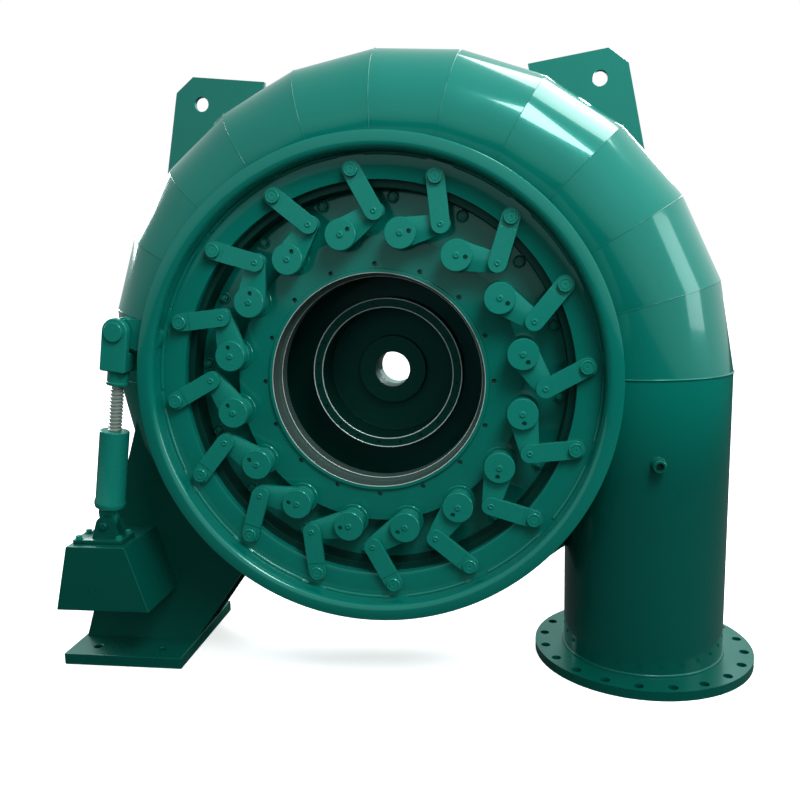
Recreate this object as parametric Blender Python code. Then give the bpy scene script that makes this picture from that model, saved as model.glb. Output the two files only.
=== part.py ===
"""Spiral case of a horizontal-shaft Francis turbine with its guide-vane gear.

Metres, +Z up. The turbine axis runs along Y and the draft-tube side faces -Y.
Sizes below are given about that axis: r outwards, y back from the front plane
of the regulating ring, angles anticlockwise from +X as seen from the front.
"""

import math

import bmesh
import bpy
from mathutils import Matrix, Vector

# Gap kept between faces that touch
FIT = 0.0003

# Height of the turbine axis over the floor
AXIS_HEIGHT = 1.14

# Spiral case and inlet
CASE_Y = 0.411
PIPE_R = 0.305
SHELL_WALL = 0.016
THROAT_R = 0.7186
HALF_WIDTH = 0.105
SPIRAL_END = 350.0
SEAM_STEP = 15.0
SMALLEST_TUBE_R = 0.155
TAIL_END = 330.0
PIPE_X = THROAT_R + math.sqrt(PIPE_R**2 - HALF_WIDTH**2)
FLANGE_R = 0.42
FLANGE_THICK = 0.036
FLANGE_BOLT_R = 0.385
FLANGE_BOLTS = 20
FLANGE_HOLE_R = 0.018
SOCKET_R = 0.024
SOCKET_LENGTH = 0.045
SOCKET_Z = -0.30

# Gate gear: sixteen equal sets
SETS = 16
FIRST_BOSS = math.radians(78.2)
BOSS_R = 0.545
LEVER_PIN_R = 0.6134
LEVER_PIN_LAG = math.radians(12.7)
RING_PIN_R = 0.757
RING_PIN_LAG = math.radians(6.62)

# Regulating ring
RING_R = 0.875
RIM_INNER_R = 0.815
WEB_INNER_R = 0.721
WEB_Y = 0.088
WEB_BACK_Y = 0.123
SKIRT_R = (0.762, 0.777)
SKIRT_Y = 0.150

# Links and levers
LINK_Y = (0.064, 0.084)
LINK_HALF = 0.033
PIN_R = 0.0125
PIN_HOLE_R = 0.0155
LOOSE_HOLE_R = 0.0205
PIN_BOSS_R = 0.027
PIN_HEAD_R = 0.0256
PIN_HEAD_Y = 0.052
ARM_Y = (0.0885, 0.118)
ARM_ROOT_R = 0.050
CAP_R = 0.056
CAP_Y = 0.066
COLLAR_R = 0.048
STEM_R = 0.030
STEM_HOLE_R = 0.0345
VANE_LENGTH = 0.200
VANE_THICK = 0.034
VANE_GAP = 0.003
VANE_ANGLE = math.radians(7.0)

# Front cover
COVER_R = (0.415, 0.534, 0.630, 0.696)
COVER_Y = (0.165, 0.215, 0.262)
PAD_R = 0.060
PAD_Y = 0.160
COVER_BOLT_R = 0.4314
COVER_BOLTS = 16
COVER_HOLE_R = 0.009
COVER_HOLE_DEPTH = 0.030
FIRST_COVER_BOLT = math.radians(89.5)
LINER_R = (0.385, 0.399)
LINER_Y = (0.155, 0.240)

# Guide of the regulating ring
GUIDE_R = (0.696, 0.716, 0.757)
GUIDE_FLANGE = 0.022

# Back cover, sealing ring and shaft housing
BACK_STEP_Y = 0.0443
BACK_FACE_Y = 0.600
BACK_HUB_Y = 0.660
BACK_OUTER_R = 0.700
SEAL_R = (0.2625, 0.301)
SEAL_Y = (0.405, 0.420)
HUB_R = 0.140
HUB_Y = 0.560
SHAFT_HOLE_R = 0.0725
BACK_BOSS_R = 0.320
HOUSING_R = 0.160
HOUSING_END_Y = 0.760

# Stay vanes
STAY_VANES = 16
STAY_VANE_R = (0.648, 0.706)
STAY_VANE_THICK = 0.020

# Foot and legs
FOOT_X = (-1.3186, -0.8168)
FOOT_Y = (0.070, 0.679)
FOOT_THICK = 0.046
FOOT_HOLE_R = 0.017
LEG_FRONT_Y = 0.250
LEG_BACK_Y = 0.545
LEG_THICK = 0.025
LEG_OUTLINE = ((-0.592, -0.780), (-0.700, -0.400), (-0.985, -0.100))
LEG_BASE_X = (-1.308, -0.820)
RIB_X = (-1.060, -1.035)
RIB_TOP = -0.400
FOOT_HOLE_INSET_X = 0.110
FOOT_HOLE_INSET_Y = (0.080, 0.060)

# Actuator
JACK_Y = 0.055
FORK_PIN = (-0.945, 0.215)
CLEVIS_PIN = (-1.063, -0.531)
BARREL_R = 0.056
BARREL_SPAN = (0.058, 0.372)
ROD_R = 0.0255
BARREL_BORE_R = 0.0265
BARREL_SIDES = 16
FORK_STEPS = 8
ROD_TIP = 0.235
JACK_COLLAR_R = 0.043
JACK_COLLAR_LENGTH = 0.055
FORK_HALF = 0.050
FORK_DEPTH = 0.120
FORK_SLOT = 0.050
FORK_FLOOR = 0.075
FORK_BASE = 0.150
EAR_THICK = 0.040
EAR_HALF = 0.042
FORK_PIN_R = 0.018
FORK_HEAD_R = 0.036
FORK_HEAD_THICK = 0.014
EAR_HOLE_R = 0.023
CLEVIS_PIN_R = 0.014
CLEVIS_HOLE_R = 0.0150
TONGUE_HALF = 0.013
TONGUE_END = 0.045
TONGUE_R = (0.030, 0.040)
CHEEK_SPAN = (0.020, 0.040)
CLEVIS_BASE_X = (-1.190, -0.989)
CLEVIS_BASE_HALF = 0.058
CLEVIS_BASE_THICK = 0.016
CHEEK_TOP_R = 0.036
PIN_END = 0.012
BRACKET_TOP = -0.600
BRACKET_OUTLINE = (
    (-1.265, -0.859),
    (-0.883, -0.859),
    (-0.945, -0.655),
    (-0.962, BRACKET_TOP),
    (-1.202, BRACKET_TOP),
)
BRACKET_Y = (-0.040, LEG_FRONT_Y - FIT)

# Lifting lugs
LUG_Y = 0.600
LUG_THICK = 0.025
LUG_MID_X = 0.030
LUG_OUTLINE = (
    (-0.803, 1.2175),
    (-0.8785, 1.159),
    (-0.951, 0.800),
    (-0.600, 0.700),
    (-0.499, 1.1788),
)
LUG_HOLE = (0.803, 1.108)
LUG_HOLE_R = 0.029

ARC_POINTS = 13
RING_STEPS = 36
COVER_STEPS = 36
ROUND_SIDES = 10
HOLE_SIDES = 8

# Place of the turbine axis: the origin is the middle of the whole object's base
AXIS_X = -(FOOT_X[0] + PIPE_X + FLANGE_R) / 2
FRONT_Y = -(BRACKET_Y[0] + CASE_Y + FLANGE_R) / 2

# Turns a shape drawn about the Y axis to stand along Z
UPRIGHT = Matrix.Rotation(math.pi / 2, 3, "X")

PAINT = (0.001, 0.150, 0.118)
DARK_PAINT = (0.001, 0.070, 0.053)
BRIGHT_STEEL = (0.60, 0.64, 0.62)
ROD_STEEL = (0.50, 0.51, 0.48)


def clear_scene():
    for obj in list(bpy.data.objects):
        bpy.data.objects.remove(obj, do_unlink=True)


def material(name, colour, roughness, metallic):
    made = bpy.data.materials.new(name)
    made.use_nodes = True
    shader = made.node_tree.nodes["Principled BSDF"]
    shader.inputs["Base Color"].default_value = (*colour, 1.0)
    shader.inputs["Roughness"].default_value = roughness
    shader.inputs["Metallic"].default_value = metallic
    return made


def world(x, y, z):
    """A point given about the turbine axis, in the object's own frame."""
    return Vector((x + AXIS_X, y + FRONT_Y, z + AXIS_HEIGHT))


def on_circle(radius, angle, y=0.0):
    return (radius * math.cos(angle), y, radius * math.sin(angle))


def add_object(name, bm, look, at=(0.0, 0.0, 0.0), helper=False):
    """Makes an object whose mesh is given about `at`, a point about the turbine axis."""
    bmesh.ops.recalc_face_normals(bm, faces=bm.faces)
    mesh = bpy.data.meshes.new(name)
    bm.to_mesh(mesh)
    bm.free()
    obj = bpy.data.objects.new(name, mesh)
    bpy.context.scene.collection.objects.link(obj)
    obj.location = world(*at)
    if look:
        mesh.materials.append(look)
    if helper:
        obj.hide_render = True
        obj.display_type = "WIRE"
    else:
        mesh.shade_smooth()
        mesh.set_sharp_from_angle(angle=math.radians(35))
    return obj


def boolean(obj, other, operation, solver="EXACT"):
    step = obj.modifiers.new(operation.lower(), "BOOLEAN")
    step.object = other
    step.operation = operation
    step.solver = solver


def cut(obj, other, solver="EXACT"):
    boolean(obj, other, "DIFFERENCE", solver)


def fuse(obj, other):
    boolean(obj, other, "UNION")


def polygon_prism(bm, outline, y0, y1):
    """Extrudes an outline of (x, z) points from y0 to y1."""
    face = bm.faces.new([bm.verts.new((x, y0, z)) for x, z in outline])
    grown = bmesh.ops.extrude_face_region(bm, geom=[face])["geom"]
    moved = [part for part in grown if isinstance(part, bmesh.types.BMVert)]
    bmesh.ops.translate(bm, verts=moved, vec=(0.0, y1 - y0, 0.0))


def lathe(bm, profile, steps):
    """Turns a closed profile of (r, y) points about the Y axis."""
    verts = [bm.verts.new((r, y, 0.0)) for r, y in profile]
    edges = [bm.edges.new((a, b)) for a, b in zip(verts, verts[1:] + verts[:1])]
    bmesh.ops.spin(
        bm,
        geom=verts + edges,
        cent=(0.0, 0.0, 0.0),
        axis=(0.0, 1.0, 0.0),
        angle=2 * math.pi,
        steps=steps,
        use_merge=True,
    )


def pipe_ring(bm, inner, outer, y0, y1, steps):
    lathe(bm, [(inner, y0), (outer, y0), (outer, y1), (inner, y1)], steps)


def round_bar(bm, radius, y0, y1, centre=(0.0, 0.0), sides=ROUND_SIDES):
    """A cylinder along Y about a point (x, z)."""
    arc = [
        (centre[0] + radius * math.cos(a), centre[1] + radius * math.sin(a))
        for a in (2 * math.pi * i / sides for i in range(sides))
    ]
    polygon_prism(bm, arc, y0, y1)


def box(bm, low, high):
    corners = [(low[0], low[2]), (high[0], low[2]), (high[0], high[2]), (low[0], high[2])]
    polygon_prism(bm, corners, low[1], high[1])


def turned_bars(name, places, radius, y0, y1, sides=ROUND_SIDES):
    """A helper with one bar along Y at each place (x, z)."""
    bm = bmesh.new()
    for x, z in places:
        round_bar(bm, radius, y0, y1, (x, z), sides)
    return add_object(name, bm, None, helper=True)


def circle_places(radius, first, count, turn=-1):
    angles = [first + turn * 2 * math.pi * i / count for i in range(count)]
    return [(radius * math.cos(a), radius * math.sin(a)) for a in angles]


def tapered_outline(start, start_r, end, end_r, steps=4):
    """Outline round two circles, as of a lever or a link."""
    heading = math.atan2(end[1] - start[1], end[0] - start[0])
    length = math.dist(start, end)
    lean = math.acos((start_r - end_r) / length)
    points = []
    for i in range(steps + 1):
        a = heading - lean + 2 * lean * i / steps
        points.append((end[0] + end_r * math.cos(a), end[1] + end_r * math.sin(a)))
    for i in range(steps + 1):
        a = heading + lean + 2 * (math.pi - lean) * i / steps
        points.append((start[0] + start_r * math.cos(a), start[1] + start_r * math.sin(a)))
    return points


def tube_radius(degrees):
    """The case narrows along its spiral as the water leaves it."""
    share = max(0.0, 1.0 - degrees / SPIRAL_END)
    return max(SMALLEST_TUBE_R, PIPE_R * math.sqrt(share))


def tube_centre(radius):
    return THROAT_R + math.sqrt(radius**2 - HALF_WIDTH**2)


def tube_section(degrees, radius, first, last, points, grow=0.0):
    """Points of an arc of the case's section, in the plane at this angle of the spiral."""
    centre = tube_centre(radius)
    angle = math.radians(degrees)
    found = []
    for i in range(points):
        a = first + (last - first) * i / (points - 1)
        r = centre + (radius + grow) * math.cos(a)
        found.append(Vector(on_circle(r, angle, CASE_Y + (radius + grow) * math.sin(a))))
    return found


def mouth_angle(radius):
    """How far round its section a tube of this radius runs before its mouth."""
    return math.pi - math.asin(HALF_WIDTH / radius)


def shell_loop(bm, degrees):
    """The closed outline of the open C that the shell has in one plane."""
    radius = tube_radius(degrees)
    mouth = mouth_angle(radius)
    inner_mouth = mouth_angle(radius - SHELL_WALL)
    outside = tube_section(degrees, radius, -mouth, mouth, ARC_POINTS)
    inside = tube_section(degrees, radius, inner_mouth, -inner_mouth, ARC_POINTS, -SHELL_WALL)
    return [bm.verts.new(p) for p in outside + inside]


def end_cap(bm, loop):
    """Closes one end with strips that run across its outline."""
    half = len(loop) // 2
    for i in range(half - 1):
        bm.faces.new((loop[i], loop[i + 1], loop[-2 - i], loop[-1 - i]))
    if len(loop) % 2:
        bm.faces.new((loop[half - 1], loop[half], loop[half + 1]))


def skin(bm, loops):
    """Closes a swept body between its loops, with a cap at each end."""
    for first, second in zip(loops, loops[1:]):
        for i, start in enumerate(first):
            j = (i + 1) % len(first)
            bm.faces.new((start, first[j], second[j]))
            bm.faces.new((start, second[j], second[i]))
    end_cap(bm, loops[0])
    end_cap(bm, loops[-1])


def spiral_shell(name, first, last, look, gap=0.03):
    """A run of welded segments of the case between two angles."""
    count = round((last - first) / SEAM_STEP)
    stations = [first + SEAM_STEP * i for i in range(count + 1)]
    stations[0] += gap
    bm = bmesh.new()
    skin(bm, [shell_loop(bm, s) for s in stations])
    return add_object(name, bm, look)


def spiral_cutter():
    """The whole tube as one solid, a little larger, to trim what meets it."""
    bm = bmesh.new()
    loops = []
    steps = int(TAIL_END / SEAM_STEP)
    for i in range(steps + 1):
        degrees = SEAM_STEP * i
        radius = tube_radius(degrees)
        mouth = mouth_angle(radius)
        ring = tube_section(degrees, radius, -mouth, mouth, ARC_POINTS, FIT)
        loops.append([bm.verts.new(p) for p in ring])
    skin(bm, loops)
    return add_object("spiral_cutter", bm, None, helper=True)


def make_case(looks):
    shells = [
        spiral_shell("spiral_case_right", 0.0, 75.0, looks["paint"]),
        spiral_shell("spiral_case_top", 75.0, 135.0, looks["paint"]),
        spiral_shell("spiral_case_left", 135.0, 210.0, looks["paint"]),
        spiral_shell("spiral_case_bottom", 210.0, 270.0, looks["paint"]),
        spiral_shell("spiral_tail", 270.0, TAIL_END, looks["paint"]),
    ]
    bm = bmesh.new()
    bmesh.ops.create_cone(
        bm, cap_ends=True, segments=36, radius1=PIPE_R + FIT, radius2=PIPE_R + FIT, depth=2.0
    )
    trim = add_object("pipe_cutter", bm, None, (PIPE_X, CASE_Y, -1.0), helper=True)
    cut(shells[-1], trim)


def upright_ring(bm, inner, outer, low, high, steps):
    """A tube along Z."""
    lathe(bm, [(inner, low), (outer, low), (outer, high), (inner, high)], steps)
    bmesh.ops.rotate(bm, verts=bm.verts, cent=(0, 0, 0), matrix=UPRIGHT)


def make_inlet(looks):
    floor = -AXIS_HEIGHT
    bm = bmesh.new()
    upright_ring(bm, PIPE_R - SHELL_WALL, PIPE_R, floor + FLANGE_THICK + FIT, -FIT, 36)
    add_object("inlet_pipe", bm, looks["paint"], (PIPE_X, CASE_Y, 0.0))
    bm = bmesh.new()
    upright_ring(bm, PIPE_R - SHELL_WALL, FLANGE_R, floor, floor + FLANGE_THICK, 36)
    flange = add_object("inlet_flange", bm, looks["paint"], (PIPE_X, CASE_Y, 0.0))
    bm = bmesh.new()
    for x, y in circle_places(FLANGE_BOLT_R, math.radians(9), FLANGE_BOLTS):
        place = Matrix.Translation((x, y, floor + FLANGE_THICK / 2))
        bmesh.ops.create_cone(
            bm,
            cap_ends=True,
            segments=6,
            radius1=FLANGE_HOLE_R,
            radius2=FLANGE_HOLE_R,
            depth=3 * FLANGE_THICK,
            matrix=place,
        )
    cut(flange, add_object("flange_holes", bm, None, (PIPE_X, CASE_Y, 0.0), helper=True))
    bm = bmesh.new()
    front = CASE_Y - PIPE_R
    pipe_ring(bm, SOCKET_R * 0.6, SOCKET_R, front - SOCKET_LENGTH, front - FIT, ROUND_SIDES)
    add_object("drain_socket", bm, looks["paint"], (PIPE_X, 0.0, SOCKET_Z))


def make_stay_rings(looks):
    outer = THROAT_R * math.cos(math.radians(SEAM_STEP / 2)) - FIT
    front_face = CASE_Y - HALF_WIDTH
    back_face = CASE_Y + HALF_WIDTH
    bm = bmesh.new()
    pipe_ring(bm, COVER_R[2], outer, COVER_Y[2], front_face, COVER_STEPS)
    add_object("stay_ring_front", bm, looks["paint"])
    bm = bmesh.new()
    pipe_ring(bm, COVER_R[2], outer, back_face, back_face + BACK_STEP_Y, COVER_STEPS)
    ring = add_object("stay_ring_back", bm, looks["paint"])
    bm = bmesh.new()
    for x, z in circle_places(sum(STAY_VANE_R) / 2, FIRST_BOSS, STAY_VANES):
        out = Vector((x, z)).normalized() * (STAY_VANE_R[1] - STAY_VANE_R[0]) / 2
        side = Vector((-out[1], out[0])).normalized() * STAY_VANE_THICK / 2
        mid = Vector((x, z))
        corners = [mid - out - side, mid + out - side, mid + out + side, mid - out + side]
        polygon_prism(bm, [tuple(c) for c in corners], front_face + FIT, back_face + 0.010)
    fuse(ring, add_object("stay_vane_blocks", bm, None, helper=True))


def make_front_cover(looks):
    wet = CASE_Y - HALF_WIDTH
    bm = bmesh.new()
    profile = [
        (COVER_R[0], COVER_Y[0]),
        (COVER_R[1], COVER_Y[0]),
        (COVER_R[1], COVER_Y[1]),
        (COVER_R[3] - FIT, COVER_Y[1]),
        (COVER_R[3] - FIT, COVER_Y[2] - FIT),
        (COVER_R[2] - FIT, COVER_Y[2] - FIT),
        (COVER_R[2] - FIT, wet),
        (COVER_R[0], wet),
    ]
    lathe(bm, profile, COVER_STEPS)
    cover = add_object("front_cover", bm, looks["paint"])
    bosses = circle_places(BOSS_R, FIRST_BOSS, SETS)
    fuse(cover, turned_bars("stem_pads", bosses, PAD_R, PAD_Y, COVER_Y[1] + 0.010, ROUND_SIDES))
    cut(cover, turned_bars("stem_holes", bosses, STEM_HOLE_R, PAD_Y - 0.05, wet + 0.05, HOLE_SIDES))
    bolts = circle_places(COVER_BOLT_R, FIRST_COVER_BOLT, COVER_BOLTS)
    depth = COVER_Y[0] + COVER_HOLE_DEPTH
    cut(cover, turned_bars("cover_holes", bolts, COVER_HOLE_R, COVER_Y[0] - 0.05, depth, 6))
    bm = bmesh.new()
    outer = COVER_R[0] - FIT
    profile = [
        (LINER_R[1], LINER_Y[0]),
        (outer, LINER_Y[0]),
        (outer, wet),
        (LINER_R[0], wet),
        (LINER_R[0], LINER_Y[1]),
        (LINER_R[1], LINER_Y[1]),
    ]
    lathe(bm, profile, COVER_STEPS)
    add_object("bore_liner", bm, looks["steel"])


def make_ring_guide(looks):
    seat = WEB_BACK_Y + FIT
    bm = bmesh.new()
    profile = [
        (GUIDE_R[0], seat),
        (GUIDE_R[2], seat),
        (GUIDE_R[2], seat + GUIDE_FLANGE),
        (GUIDE_R[1], seat + GUIDE_FLANGE),
        (GUIDE_R[1], COVER_Y[2] - FIT),
        (GUIDE_R[0], COVER_Y[2] - FIT),
    ]
    lathe(bm, profile, RING_STEPS)
    add_object("ring_guide", bm, looks["dark"])


def make_back_cover(looks):
    wet = CASE_Y + HALF_WIDTH
    step = wet + BACK_STEP_Y + FIT
    bm = bmesh.new()
    profile = [
        (SHAFT_HOLE_R, HUB_Y),
        (HUB_R, HUB_Y),
        (HUB_R, BACK_FACE_Y),
        (SEAL_R[0], BACK_FACE_Y),
        (SEAL_R[0], SEAL_Y[1] + FIT),
        (SEAL_R[1], SEAL_Y[1] + FIT),
        (SEAL_R[1], wet),
        (COVER_R[2] - FIT, wet),
        (COVER_R[2] - FIT, step),
        (BACK_OUTER_R, step),
        (BACK_OUTER_R, BACK_FACE_Y),
        (BACK_BOSS_R, BACK_FACE_Y),
        (BACK_BOSS_R, BACK_HUB_Y),
        (SHAFT_HOLE_R, BACK_HUB_Y),
    ]
    lathe(bm, profile, COVER_STEPS)
    add_object("back_cover", bm, looks["dark"])
    bm = bmesh.new()
    pipe_ring(bm, SEAL_R[0], SEAL_R[1], SEAL_Y[0], SEAL_Y[1], COVER_STEPS)
    add_object("seal_ring", bm, looks["steel"])
    bm = bmesh.new()
    pipe_ring(bm, SHAFT_HOLE_R, HOUSING_R, BACK_HUB_Y + FIT, HOUSING_END_Y, 24)
    add_object("shaft_housing", bm, looks["paint"])


def make_regulating_ring(looks):
    bm = bmesh.new()
    profile = [
        (RIM_INNER_R, 0.0),
        (RING_R, 0.0),
        (RING_R, WEB_BACK_Y),
        (SKIRT_R[1], WEB_BACK_Y),
        (SKIRT_R[1], SKIRT_Y),
        (SKIRT_R[0], SKIRT_Y),
        (SKIRT_R[0], WEB_BACK_Y),
        (WEB_INNER_R, WEB_BACK_Y),
        (WEB_INNER_R, WEB_Y),
        (RIM_INNER_R, WEB_Y),
    ]
    lathe(bm, profile, RING_STEPS)
    ring = add_object("regulating_ring", bm, looks["paint"])
    pins = circle_places(RING_PIN_R, FIRST_BOSS - RING_PIN_LAG, SETS)
    seat = LINK_Y[1] + FIT
    bm = bmesh.new()
    for x, z in pins:
        profile = [
            (0.0, PIN_HEAD_Y),
            (PIN_HEAD_R, PIN_HEAD_Y),
            (PIN_HEAD_R, LINK_Y[0] - FIT),
            (PIN_R, LINK_Y[0] - FIT),
            (PIN_R, seat),
            (PIN_BOSS_R, seat),
            (PIN_BOSS_R, WEB_Y + 0.010),
            (0.0, WEB_Y + 0.010),
        ]
        solid_lathe(bm, profile, (x, z), HOLE_SIDES)
    fuse(ring, add_object("ring_pins", bm, None, helper=True))
    make_ring_ear(ring)


def solid_lathe(bm, profile, centre, sides=ROUND_SIDES):
    """A turned solid about a line along Y; the profile starts and ends on that line."""
    rings = []
    for r, y in profile[1:-1]:
        arc = (2 * math.pi * i / sides for i in range(sides))
        points = [(centre[0] + r * math.cos(a), y, centre[1] + r * math.sin(a)) for a in arc]
        rings.append([bm.verts.new(p) for p in points])
    skin(bm, rings)


def make_ring_ear(ring):
    """The lug on the ring's left edge that the jack's fork holds."""
    bm = bmesh.new()
    root = (-RING_R + 0.030, FORK_PIN[1] * 0.9)
    outline = tapered_outline(root, EAR_HALF * 1.5, FORK_PIN, EAR_HALF)
    y0 = JACK_Y - EAR_THICK / 2
    polygon_prism(bm, outline, y0, y0 + EAR_THICK)
    fuse(ring, add_object("ear_block", bm, None, helper=True))
    hole = turned_bars("ear_hole", [FORK_PIN], EAR_HOLE_R, y0 - 0.05, y0 + EAR_THICK + 0.05)
    cut(ring, hole)


def evaluated_mesh(obj):
    bpy.context.view_layer.update()
    graph = bpy.context.evaluated_depsgraph_get()
    return bpy.data.meshes.new_from_object(obj.evaluated_get(graph))


def vane_outline(angle):
    """A symmetrical guide vane about its stem, at this angle to the radius."""
    shape = [(-0.5, 0.04), (-0.3, 0.40), (0.0, 0.50), (0.3, 0.28), (0.5, 0.05)]
    upper = [(VANE_LENGTH * s, VANE_THICK * t) for s, t in shape]
    lower = [(x, -z) for x, z in reversed(upper)]
    turn = Matrix.Rotation(angle, 2)
    return [tuple(turn @ Vector(p)) for p in upper + lower]


def lever_master(look):
    """One lever with its stem and vane about its own axis, as it lies at the first boss."""
    bm = bmesh.new()
    boss = Vector((BOSS_R * math.cos(FIRST_BOSS), BOSS_R * math.sin(FIRST_BOSS)))
    angle = FIRST_BOSS - LEVER_PIN_LAG
    pin = Vector((LEVER_PIN_R * math.cos(angle), LEVER_PIN_R * math.sin(angle))) - boss
    outline = tapered_outline((0.0, 0.0), ARM_ROOT_R, tuple(pin), LINK_HALF)
    polygon_prism(bm, outline, *ARM_Y)
    arm = add_object("lever_arm_block", bm, look, helper=True)
    bm = bmesh.new()
    wet = (CASE_Y - HALF_WIDTH + VANE_GAP, CASE_Y + HALF_WIDTH - VANE_GAP)
    profile = [
        (0.0, CAP_Y),
        (CAP_R, CAP_Y),
        (CAP_R, ARM_Y[0] + 0.002),
        (COLLAR_R, ARM_Y[0] + 0.004),
        (COLLAR_R, PAD_Y - FIT),
        (STEM_R, PAD_Y - FIT),
        (STEM_R, wet[0] + 0.010),
        (0.0, wet[0] + 0.010),
    ]
    solid_lathe(bm, profile, (0.0, 0.0))
    fuse(arm, add_object("lever_stem_block", bm, None, helper=True))
    bm = bmesh.new()
    polygon_prism(bm, vane_outline(FIRST_BOSS + math.pi / 2 + VANE_ANGLE), *wet)
    fuse(arm, add_object("lever_vane_block", bm, None, helper=True))
    bm = bmesh.new()
    profile = [
        (0.0, LINK_Y[0]),
        (PIN_R, LINK_Y[0]),
        (PIN_R, LINK_Y[1] + FIT),
        (PIN_BOSS_R, LINK_Y[1] + FIT),
        (PIN_BOSS_R, ARM_Y[0] + 0.010),
        (0.0, ARM_Y[0] + 0.010),
    ]
    solid_lathe(bm, profile, tuple(pin), HOLE_SIDES)
    fuse(arm, add_object("lever_pin_block", bm, None, helper=True))
    return evaluated_mesh(arm)


def link_master(look):
    """One link about its ring pin, as it lies at the first boss."""
    ring_angle = FIRST_BOSS - RING_PIN_LAG
    lever_angle = FIRST_BOSS - LEVER_PIN_LAG
    start = Vector((RING_PIN_R * math.cos(ring_angle), RING_PIN_R * math.sin(ring_angle)))
    end = Vector((LEVER_PIN_R * math.cos(lever_angle), LEVER_PIN_R * math.sin(lever_angle)))
    end = tuple(end - start)
    bm = bmesh.new()
    outline = tapered_outline((0.0, 0.0), LINK_HALF, end, LINK_HALF)
    polygon_prism(bm, outline, *LINK_Y)
    link = add_object("link_block", bm, look, helper=True)
    bm = bmesh.new()
    round_bar(bm, PIN_HOLE_R, LINK_Y[0] - 0.01, LINK_Y[1] + 0.01, sides=HOLE_SIDES)
    round_bar(bm, LOOSE_HOLE_R, LINK_Y[0] - 0.01, LINK_Y[1] + 0.01, end, HOLE_SIDES)
    cut(link, add_object("link_holes", bm, None, helper=True))
    return evaluated_mesh(link)


def place_set(name, mesh, radius, lag, look):
    """Sixteen objects that share a mesh, one a sixteenth of a turn on from the last."""
    mesh.materials.clear()
    mesh.materials.append(look)
    for i in range(SETS):
        turn = 2 * math.pi * i / SETS
        obj = bpy.data.objects.new(f"{name}_{i + 1:02d}", mesh)
        bpy.context.scene.collection.objects.link(obj)
        obj.location = world(*on_circle(radius, FIRST_BOSS - lag - turn))
        obj.rotation_euler = (0.0, turn, 0.0)


def make_gate_gear(looks):
    place_set("vane_lever", lever_master(looks["paint"]), BOSS_R, 0.0, looks["paint"])
    place_set("link", link_master(looks["paint"]), RING_PIN_R, RING_PIN_LAG, looks["paint"])


def make_foot(looks, tube):
    floor = -AXIS_HEIGHT
    bm = bmesh.new()
    box(bm, (FOOT_X[0], FOOT_Y[0], floor), (FOOT_X[1], FOOT_Y[1], floor + FOOT_THICK))
    foot = add_object("foot_plate", bm, looks["paint"])
    bm = bmesh.new()
    for x in (FOOT_X[0] + FOOT_HOLE_INSET_X, FOOT_X[1] - FOOT_HOLE_INSET_X):
        for y in (FOOT_Y[0] + FOOT_HOLE_INSET_Y[0], FOOT_Y[1] - FOOT_HOLE_INSET_Y[1]):
            place = Matrix.Translation((x, y, floor + FOOT_THICK / 2))
            bmesh.ops.create_cone(
                bm,
                cap_ends=True,
                segments=HOLE_SIDES,
                radius1=FOOT_HOLE_R,
                radius2=FOOT_HOLE_R,
                depth=3 * FOOT_THICK,
                matrix=place,
            )
    cut(foot, add_object("foot_holes", bm, None, helper=True))
    low = floor + FOOT_THICK + FIT
    outline = [(x, low) for x in LEG_BASE_X] + list(LEG_OUTLINE)
    for name, y in (("leg_front", LEG_FRONT_Y), ("leg_back", LEG_BACK_Y)):
        bm = bmesh.new()
        polygon_prism(bm, outline, y, y + LEG_THICK)
        cut(add_object(name, bm, looks["dark"]), tube)
    bm = bmesh.new()
    front = LEG_FRONT_Y + LEG_THICK + FIT
    box(bm, (RIB_X[0], front, low), (RIB_X[1], LEG_BACK_Y - FIT, RIB_TOP))
    cut(add_object("leg_rib", bm, looks["dark"]), tube)


def make_bracket(looks):
    top = BRACKET_TOP
    bm = bmesh.new()
    polygon_prism(bm, BRACKET_OUTLINE, *BRACKET_Y)
    add_object("jack_bracket", bm, looks["paint"])
    bm = bmesh.new()
    y0, y1 = JACK_Y - CLEVIS_BASE_HALF, JACK_Y + CLEVIS_BASE_HALF
    low = (CLEVIS_BASE_X[0], y0, top + FIT)
    high = (CLEVIS_BASE_X[1], y1, top + CLEVIS_BASE_THICK)
    box(bm, low, high)
    clevis = add_object("jack_clevis", bm, looks["dark"])
    root = (CLEVIS_PIN[0], top + CLEVIS_BASE_THICK / 2)
    outline = tapered_outline(root, CLEVIS_BASE_HALF, CLEVIS_PIN, CHEEK_TOP_R)
    outline = tidy_outline([(x, max(z, top + CLEVIS_BASE_THICK / 4)) for x, z in outline])
    for side in (-1, 1):
        faces = sorted(JACK_Y + side * y for y in CHEEK_SPAN)
        bm = bmesh.new()
        polygon_prism(bm, outline, *faces)
        fuse(clevis, add_object(f"clevis_cheek_{side + 1}", bm, None, helper=True))
    reach = CHEEK_SPAN[1] + PIN_END
    ends = (JACK_Y - reach, JACK_Y + reach)
    fuse(clevis, turned_bars("clevis_pin_block", [CLEVIS_PIN], CLEVIS_PIN_R, *ends))


def tidy_outline(points):
    """Leaves out a point that repeats the one before."""
    kept = []
    for point in points:
        if not kept or math.dist(kept[-1], point) > 0.001:
            kept.append(point)
    if math.dist(kept[0], kept[-1]) < 0.001:
        kept.pop()
    return kept


def jack_frame():
    """The jack's line: its foot, its direction and the turn that stands it upright."""
    start = Vector((CLEVIS_PIN[0], 0.0, CLEVIS_PIN[1]))
    end = Vector((FORK_PIN[0], 0.0, FORK_PIN[1]))
    along = end - start
    return along.length, math.atan2(along.x, along.z)


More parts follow.
